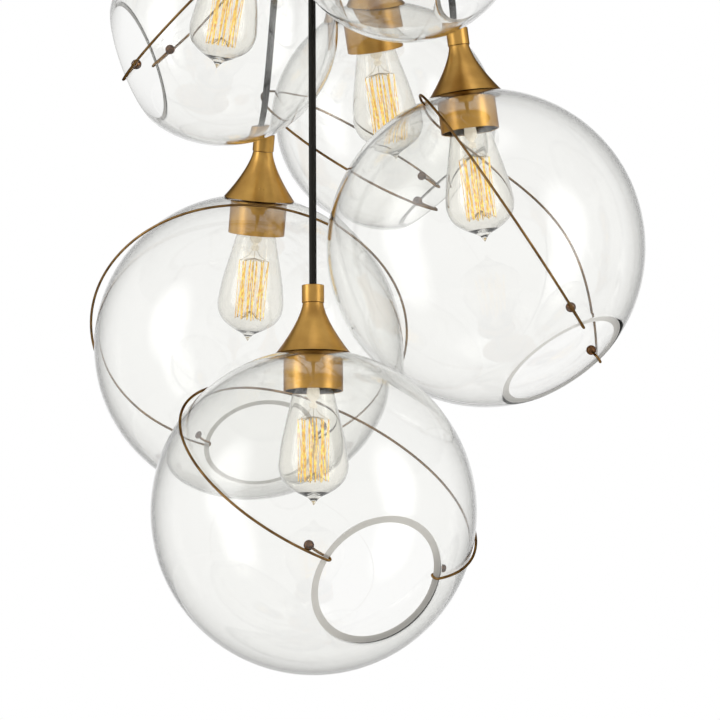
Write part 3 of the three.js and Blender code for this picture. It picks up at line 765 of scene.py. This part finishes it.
def hoop_line(radius, far_clearance, lean, aside, bow):
    """Points of the wire, with x from hook to hook and y towards the far end, bowed along z."""
    ring = (radius - WALL / 2) * math.sin(lip_angle(radius))
    depth = (radius - WALL / 2) * math.cos(lip_angle(radius))
    half_chord = math.sqrt(ring ** 2 - aside ** 2)
    offset = depth * math.sin(lean) + aside * math.cos(lean)
    below = depth * math.cos(lean) - aside * math.sin(lean)
    hook = WALL / 2 / (half_chord / ring * math.cos(lean)) + HOOK_GAP + HOOP_WIRE
    far = math.sqrt(radius ** 2 - offset ** 2) + far_clearance + HOOP_WIRE
    outward = math.atan2(-below, half_chord)
    lip = Vector((half_chord, -below))
    start = lip + Vector((math.cos(outward), math.sin(outward))) * hook
    rise = far - start.y
    bend = (rise ** 2 + start.x ** 2) / (2 * rise)
    middle = far - bend
    first = math.atan2(start.y - middle, start.x)
    inner = math.hypot(half_chord, below) - hook
    half = []
    for i in range(TAIL_STEPS, 0, -1):
        share = i / TAIL_STEPS
        angle = outward + TAIL * share / inner
        spot = Vector((math.cos(angle), math.sin(angle))) * (inner - TAIL_LIFT * share ** 2)
        half.append(spot.to_3d())
    for i in range(HOOK_STEPS):
        angle = outward - math.pi + math.pi * i / HOOK_STEPS
        half.append((lip + Vector((math.cos(angle), math.sin(angle))) * hook).to_3d())
    flat_half = list(half)
    for i in range(ARC_STEPS):
        angle = first + (math.pi / 2 - first) * i / ARC_STEPS
        flat = Vector((bend * math.cos(angle), middle + bend * math.sin(angle), 0))
        flat_half.append(flat)
        share = math.sin(math.pi * i / ARC_STEPS) ** 2
        reach = math.hypot(flat.length, offset) + bow * BOW_LIFT * share
        bowed = flat * (math.sqrt(reach ** 2 - (offset + bow * share) ** 2) / flat.length)
        bowed.z = bow * share
        half.append(bowed)
    mirrored = [Vector((-p.x, p.y, 0)) for p in reversed(flat_half)]
    return half + [Vector((0, far, 0))] + mirrored, offset


def swept(points, radius, sides):
    """A round tube along points, as a bmesh."""
    curve = bpy.data.curves.new("sweep", "CURVE")
    curve.dimensions = "3D"
    curve.bevel_depth = radius
    curve.bevel_resolution = sides // 2 - 2
    curve.use_fill_caps = True
    spline = curve.splines.new("POLY")
    spline.points.add(len(points) - 1)
    for point, place in zip(spline.points, points):
        point.co = (*place, 1)
    holder = bpy.data.objects.new("sweep", curve)
    scene.collection.objects.link(holder)
    whole = holder.evaluated_get(bpy.context.evaluated_depsgraph_get())
    mesh = bpy.data.meshes.new_from_object(whole)
    bpy.data.objects.remove(holder)
    bm = bmesh.new()
    bm.from_mesh(mesh)
    bmesh.ops.remove_doubles(bm, verts=bm.verts[:], dist=SAME_SPOT / 10)
    bmesh.ops.recalc_face_normals(bm, faces=bm.faces[:])
    return bm


def hoop_frame(drop, offset):
    mouth = Vector(drop["mouth"]).normalized()
    hooks = Vector(drop["hooks"])
    hooks = (hooks - mouth * hooks.dot(mouth)).normalized()
    side = mouth.cross(hooks)
    lean = math.radians(drop["lean"])
    far = -mouth * math.cos(lean) + side * math.sin(lean)
    normal = hooks.cross(far)
    return axes_matrix(hooks, far, normal, drop["centre"] + normal * offset)


for drop in DROPS:
    name = drop["name"]
    line, offset = hoop_line(drop["radius"], drop["slack"] * drop["radius"],
                             math.radians(drop["lean"]), drop["aside"] * MOUTH,
                             drop.get("bow", 0) * drop["radius"])
    wire = swept(line, HOOP_WIRE, WIRE_SIDES)
    balls = [Vector((end.x, end.y, 0)) for end in (line[0], line[-1])]
    for ball in balls:
        bmesh.ops.create_uvsphere(wire, u_segments=24, v_segments=16, radius=HOOP_BALL,
                                  matrix=Matrix.Translation(ball))
    for face in wire.faces:
        spot = face.calc_center_median()
        nearest = min(math.dist(spot, ball) for ball in balls)
        face.material_index = int(nearest < HOOP_BALL * 1.05)
    hoop = place_piece(name + "_wire_hoop", wire, WIRE, name + "_ring",
                       [name + "_hoop"], hoop_frame(drop, offset), 60)
    hoop.data.materials.append(BRONZE)
print("hoops:", len(DROPS))

# %% [markdown]
# ## The bulbs
# The bulbs are clear ones of an old pattern: straight flanks, a drawn-off tip below, a glass stem
# above, and a filament strung up and down between two rings of hooks. The glow comes from the
# filament's own emission, so the glass round it stays clear. A bulb's glass could be a solid
# drop, but then it would be a lens: only its tip is solid here, where the glass was melted shut.

# %% Bulb glass
BULB_OUTLINE = [(0.0, 0.985), (0.05, 0.965), (0.12, 0.935), (0.27, 0.905), (0.46, 0.878),
                (0.67, 0.838), (0.84, 0.79), (0.95, 0.73), (1.0, 0.655), (0.985, 0.59),
                (0.955, 0.515), (0.91, 0.43), (0.85, 0.345), (0.785, 0.26), (0.715, 0.172),
                (0.65, 0.086), (0.58, 0.0), (0.45, -0.055), (0.395, -0.083)]
BULB_WALL = 0.0008
TIP_FILL = 0.885
TIP_BOWL = ((0.6, 0.0011), (0.25, 0.0016), (0, 0.0017))
BULB_SMOOTH = 4


def smooth_outline(points, steps):
    """Runs a smooth line through the points, which is how a mould's outline is drawn."""
    smooth = []
    for i in range(len(points) - 1):
        a, b = points[max(i - 1, 0)], points[i]
        c, d = points[i + 1], points[min(i + 2, len(points) - 1)]
        for k in range(steps):
            t = k / steps
            smooth.append(tuple(
                0.5 * (2 * q + (r - p) * t + (2 * p - 5 * q + 4 * r - s) * t ** 2
                       + (3 * q - p - 3 * r + s) * t ** 3)
                for p, q, r, s in zip(a, b, c, d)))
    return smooth + [points[-1]]


def bulb_outline(at):
    """Goes up the outside, down inside the wall, and over the bowl of the solid tip."""
    outer = [(r * BULB, at["cup_bottom"] - z * BULB_DROP)
             for r, z in smooth_outline(BULB_OUTLINE, BULB_SMOOTH)]
    inner = []
    for i in range(len(outer) - 1, 1, -1):
        ahead, behind = Vector(outer[i - 1]), Vector(outer[min(i + 1, len(outer) - 1)])
        way = (behind - ahead).normalized()
        inward = Vector((-way.y, way.x))
        spot = Vector(outer[i]) + inward * BULB_WALL
        if spot.y > at["cup_bottom"] - BULB_DROP * TIP_FILL:
            inner.append((spot.x, spot.y))
    wide, low = inner[-1]
    return outer + inner + [(wide * share, low - sink) for share, sink in TIP_BOWL]


for drop in DROPS:
    name = drop["name"]
    place_piece(name + "_bulb_shell", lathe(bulb_outline(drop["at"]), steps=64), BULB_GLASS,
                name + "_bulb", [name + "_bulb_glass"], drop["place"], 80)
print("bulb glasses:", len(DROPS))

# %% [markdown]
# ## Filament, stem and base
# The filament is one thin wire, bent up and down round a cage of hooks, and it is the brightest
# thing in the picture, so each strand is its own stretch of tube. A glowing cylinder in its place
# would look like a candle. The stem is a turned rod of glass, the hooks are hair-thin wires, and
# the base is a turned sleeve whose ridges stand in for the thread, as it is hidden in the cup.

# %% Filament
CAGE_TOP = 0.027
CAGE_LENGTH = 0.058
CAGE = 0.0145
INNER_CAGE = 0.6
STRANDS = 32
STRAND = 0.0006


def cage_spot(i, at):
    """Bend i of the filament: high and low in turn, two bends far out and then two further in."""
    angle = 2 * math.pi * (i + 0.5) / (STRANDS + 1)
    reach = CAGE if i % 4 < 2 else CAGE * INNER_CAGE
    level = at["cup_bottom"] - CAGE_TOP - (CAGE_LENGTH if i % 2 else 0)
    return (reach * math.cos(angle), reach * math.sin(angle), level)


def cage_line(at):
    return [cage_spot(i, at) for i in range(STRANDS + 1)]


print("filament:", STRANDS, "strands round a cage of", CAGE, "m")

# %% Stem and supports
STEM_OUTLINE = [(0, -0.0165), (0.003, -0.0162), (0.0042, -0.0145), (0.0038, -0.012),
                (0.0021, -0.0104), (0.0032, -0.009), (0.0058, -0.0062), (0.0062, -0.002),
                (0.0056, 0.004), (0.0092, 0.009), (0, 0.009)]
STEM_FOOT = 0.0155
SUPPORT_WIRE = 0.00022
ROD_SHORT = 0.006
LEAD_GAP = 0.002
LEAD_SPREAD = 0.0055
LEAD_END = CAGE * 0.98
HOOKS_ABOVE = 0.003
HOOKS_BELOW = 0.008
THIN_SIDES = 6


def stem_outline(at):
    return [(r, at["cup_bottom"] + z) for r, z in STEM_OUTLINE]


def support_lines(at):
    """A rod down the middle, two leads, and hooks out to every bend of the filament."""
    hang, top = at["cup_bottom"] - STEM_FOOT, at["cup_bottom"] - CAGE_TOP
    foot = top - CAGE_LENGTH
    lines = [[(0, 0, hang), (0, 0, foot + ROD_SHORT)]]
    for side in (-1, 1):
        lines.append([(side * LEAD_GAP, 0, hang), (side * LEAD_SPREAD, 0, hang - ROD_SHORT),
                      (side * LEAD_END, 0, top)])
    for i in range(0, STRANDS, 2):
        lines.append([(0, 0, top + HOOKS_ABOVE), cage_spot(i, at)])
        lines.append([(0, 0, foot + HOOKS_BELOW), cage_spot(i + 1, at)])
    return lines


def joined(parts):
    whole = bmesh.new()
    for part in parts:
        mesh = bpy.data.meshes.new("part")
        part.to_mesh(mesh)
        part.free()
        whole.from_mesh(mesh)
        bpy.data.meshes.remove(mesh)
    return whole


# %% Base, and the bulbs' insides
BASE_LEVEL = 0.0093
BASE_HEIGHT = 0.024
BASE_FOOT = 0.0125
BASE_TOP = ((0.0105, -0.0032), (0.0045, 0), (0, 0))
THREAD_START = 0.002
THREAD = 0.0132
THREAD_DEPTH = 0.0009
THREAD_STEP = 0.0014
THREAD_CORNERS = 13


def base_outline(at):
    bottom = at["cup_bottom"] + BASE_LEVEL
    top = bottom + BASE_HEIGHT
    ridges = []
    for i in range(THREAD_CORNERS):
        r = THREAD - (THREAD_DEPTH if i % 2 else 0)
        ridges.append((r, bottom + THREAD_START + i * THREAD_STEP))
    return [(0, bottom), (BASE_FOOT, bottom)] + ridges + [(r, top + z) for r, z in BASE_TOP]


for drop in DROPS:
    name, at, place = drop["name"], drop["at"], drop["place"]
    body = name + "_bulb"
    place_piece(name + "_filament", swept(cage_line(at), STRAND, THIN_SIDES), FILAMENT, body,
                [], place)
    place_piece(name + "_stem", lathe(stem_outline(at), steps=32), STEM_GLASS, body,
                [], place, 60)
    supports = joined([swept(line, SUPPORT_WIRE, THIN_SIDES) for line in support_lines(at)])
    place_piece(name + "_supports", supports, BASE_METAL, body, [], place)
    place_piece(name + "_screw_base", lathe(base_outline(at), steps=48), BASE_METAL, body,
                [name + "_bulb_mount"], place, 30)
print("bulbs:", len(DROPS))

# %% [markdown]
# ## The canopy
# The canopy is the plain dish that such lamps hang from: a spun brass pan with a rounded edge, a
# hole for each cord and two screws with round heads. The pan is one more turned outline, and the
# holes are carved as the globes' necks are, because a spin can't make a hole off its axis. Above
# each hole the cord ends in a bead, which carries the globe's weight.

# %% Canopy
CANOPY = 0.150
CANOPY_HEIGHT = 0.030
CANOPY_WALL = 0.0015
CANOPY_CORNER = 0.007
CORNER_STEPS = 10
HOLE = 0.0085
DRILL_DEPTH = 0.01
SCREW_OUT = 0.105
SCREW_HOLE = 0.0028


def canopy_outline():
    middle = (CANOPY - CANOPY_CORNER, CANOPY_CORNER - CANOPY_HEIGHT)
    outside = arc(middle, CANOPY_CORNER, -90, 0, CORNER_STEPS)
    inside = arc(middle, CANOPY_CORNER - CANOPY_WALL, 0, -90, CORNER_STEPS)
    return ([(0, -CANOPY_HEIGHT)] + outside + [(CANOPY, 0), (CANOPY - CANOPY_WALL, 0)] + inside
            + [(0, CANOPY_WALL - CANOPY_HEIGHT)])


def drills(spots):
    """Upright rods, given as (x, y, radius), through the canopy's plate."""
    rods = bmesh.new()
    level = CANOPY_WALL / 2 - CANOPY_HEIGHT
    for x, y, radius in spots:
        bmesh.ops.create_cone(rods, cap_ends=True, segments=48, radius1=radius, radius2=radius,
                              depth=DRILL_DEPTH, matrix=Matrix.Translation((x, y, level)))
    return rods


pan = place_piece("brass_canopy", lathe(canopy_outline(), steps=128), BRASS, "canopy_set",
                  ["canopy"], None, 30)
bpy.context.view_layer.update()
carve(pan, drills([(drop["stop"].x, drop["stop"].y, HOLE) for drop in DROPS]
                  + [(side * SCREW_OUT, 0, SCREW_HOLE) for side in (-1, 1)]))
print("canopy:", len(pan.data.polygons), "faces")

# %% Beads, screws and what the canopy hides
BEAD = 0.010
SCREW_HEAD = 0.007
SCREW_SHANK = 0.0025

for drop in DROPS:
    bead = bmesh.new()
    bmesh.ops.create_uvsphere(bead, u_segments=32, v_segments=20, radius=BEAD,
                              matrix=Matrix.Translation(drop["stop"]))
    place_piece(drop["name"] + "_bead", bead, HOLDER_BLACK, drop["name"] + "_drop",
                [])

for side, label in ((-1, "left"), (1, "right")):
    under = -CANOPY_HEIGHT - SEAT_GAP
    head = arc((0, under), SCREW_HEAD, -90, 0, CORNER_STEPS)
    knob = head + [(SCREW_SHANK, under), (SCREW_SHANK, -SEAT_GAP), (0, -SEAT_GAP)]
    place_piece("brass_screw_" + label, lathe(knob, steps=40), BRASS, "canopy_set",
                ["canopy_screw_" + label], Matrix.Translation((side * SCREW_OUT, 0, 0)), 30)
for node, material in (("ceiling_bracket", STEEL), ("terminal_block", BLOCK_WHITE)):
    mesh = frame["nodes"][node].data
    mesh.materials.clear()
    mesh.materials.append(material)
print("beads:", len(DROPS), "and screws: 2")

# %% [markdown]
# ## Studio
# The photograph is a cut-out on white. The world is white to the camera, to light that comes
# through glass, and to light that leaves metal or glass for the backdrop straight behind the
# lamp. Beside the backdrop stand dark flags, as they do in a studio to draw the edges of clear
# glass, and in front of it lies a soft grey room, which is dimmer towards the floor. A world
# of plain white would be simpler, but clear glass all but vanishes in it.

# %% World
ROOM = 0.78
FLAG = 0.12
UNDER = 0.35
FLAG_REACH = (0.4, 0.8)
UNDER_REACH = (-0.7, 0.1)
BACKDROP_REACH = (0.91, 0.985)

world = bpy.data.worlds.new("studio")
world.use_nodes = True
scene.world = world
tree = world.node_tree
tree.nodes.clear()
white = add(tree, "ShaderNodeBackground")
white.inputs["Color"].default_value = (1, 1, 1, 1)
room = add(tree, "ShaderNodeBackground")
room.inputs["Color"].default_value = (0.97, 0.97, 0.97, 1)
way = add(tree, "ShaderNodeSeparateXYZ")
tree.links.new(add(tree, "ShaderNodeTexCoord").outputs["Generated"], way.inputs[0])
sideways = eased(tree, way.outputs["Y"], *FLAG_REACH, ROOM, FLAG)
upwards = eased(tree, way.outputs["Z"], *UNDER_REACH, UNDER, 1)
tree.links.new(combined(tree, "MULTIPLY", sideways, upwards), room.inputs["Strength"])

# %% What sees white
rays = add(tree, "ShaderNodeLightPath").outputs
seen = combined(tree, "MAXIMUM", rays["Is Camera Ray"], rays["Is Transmission Ray"])
backdrop = eased(tree, way.outputs["Y"], *BACKDROP_REACH, 0, 1)
mirrored = combined(tree, "MULTIPLY", rays["Is Glossy Ray"], backdrop)
mix = add(tree, "ShaderNodeMixShader")
tree.links.new(combined(tree, "MAXIMUM", seen, mirrored), mix.inputs[0])
tree.links.new(room.outputs[0], mix.inputs[1])
tree.links.new(white.outputs[0], mix.inputs[2])
tree.links.new(mix.outputs[0], add(tree, "ShaderNodeOutputWorld").inputs["Surface"])
print("world: room", ROOM, "flags", FLAG)

# %% [markdown]
# ## Lamps and floor
# Two tall soft boxes stand left and right, and a weak one hangs above. A plain area lamp would
# show in each globe as a hard white tile, so these fade towards their rims. The floor is a round
# pale disc far below, and it too fades, to the camera alone, into the white round it: it keeps
# its shadow and shows no edge.

# %% Soft boxes
BOX_FADE = (0.3, 1.0)


def soft_box(name, place, target, width, height, power):
    data = bpy.data.lights.new(name, "AREA")
    data.shape = "RECTANGLE"
    data.size = width
    data.size_y = height
    data.energy = power
    data.use_nodes = True
    tree = data.node_tree
    tree.nodes.clear()
    from_middle = add(tree, "ShaderNodeVectorMath", operation="SUBTRACT")
    tree.links.new(add(tree, "ShaderNodeNewGeometry").outputs["Position"], from_middle.inputs[0])
    from_middle.inputs[1].default_value = place
    share = add(tree, "ShaderNodeVectorMath", operation="MULTIPLY")
    tree.links.new(from_middle.outputs["Vector"], share.inputs[0])
    share.inputs[1].default_value = (2 / width, 2 / width, 2 / height)
    length = add(tree, "ShaderNodeVectorMath", operation="LENGTH")
    tree.links.new(share.outputs["Vector"], length.inputs[0])
    shine = add(tree, "ShaderNodeEmission")
    rim = eased(tree, length.outputs["Value"], *BOX_FADE, 1, 0)
    tree.links.new(rim, shine.inputs["Strength"])
    tree.links.new(shine.outputs[0], add(tree, "ShaderNodeOutputLight").inputs["Surface"])
    lamp = bpy.data.objects.new(name, data)
    lamp.location = place
    lamp.rotation_euler = (Vector(target) - Vector(place)).to_track_quat("-Z", "Y").to_euler()
    scene.collection.objects.link(lamp)


MIDDLE = (0, 0, -0.6)
soft_box("left box", (-2.7, -1.3, 0.2), MIDDLE, 2.4, 4.2, 76)
soft_box("right box", (2.7, -1.5, 0.2), MIDDLE, 2.4, 4.2, 76)
soft_box("top box", (0.2, -0.4, 2.2), MIDDLE, 2.0, 2.0, 13)

# %% Floor
FLOOR_LEVEL = -1.30
FLOOR = 1.35

disc = bmesh.new()
bmesh.ops.create_circle(disc, cap_ends=True, segments=96, radius=FLOOR,
                        matrix=Matrix.Translation((0, 0, FLOOR_LEVEL)))
mesh = bpy.data.meshes.new("floor")
disc.to_mesh(mesh)
disc.free()
floor = bpy.data.objects.new("floor", mesh)
scene.collection.objects.link(floor)
print("floor: a disc of", FLOOR, "m at", FLOOR_LEVEL)

# %% Floor's finish
pale, tree, shader = finish_of("pale floor", Base_Color=(0.86, 0.86, 0.85, 1), Roughness=0.7)
away = add(tree, "ShaderNodeVectorMath", operation="LENGTH")
tree.links.new(add(tree, "ShaderNodeTexCoord").outputs["Object"], away.inputs[0])
rim = eased(tree, away.outputs["Value"], abs(FLOOR_LEVEL),
            math.hypot(FLOOR_LEVEL, FLOOR * 0.95), 0, 1)
seen = combined(tree, "MULTIPLY", rim, add(tree, "ShaderNodeLightPath").outputs["Is Camera Ray"])
mix = add(tree, "ShaderNodeMixShader")
tree.links.new(seen, mix.inputs[0])
tree.links.new(shader.outputs[0], mix.inputs[1])
tree.links.new(add(tree, "ShaderNodeEmission").outputs[0], mix.inputs[2])
surface = next(node for node in tree.nodes if node.type == "OUTPUT_MATERIAL")
tree.links.new(mix.outputs[0], surface.inputs["Surface"])
mesh.materials.append(pale)
print("finish of the floor:", pale.name)
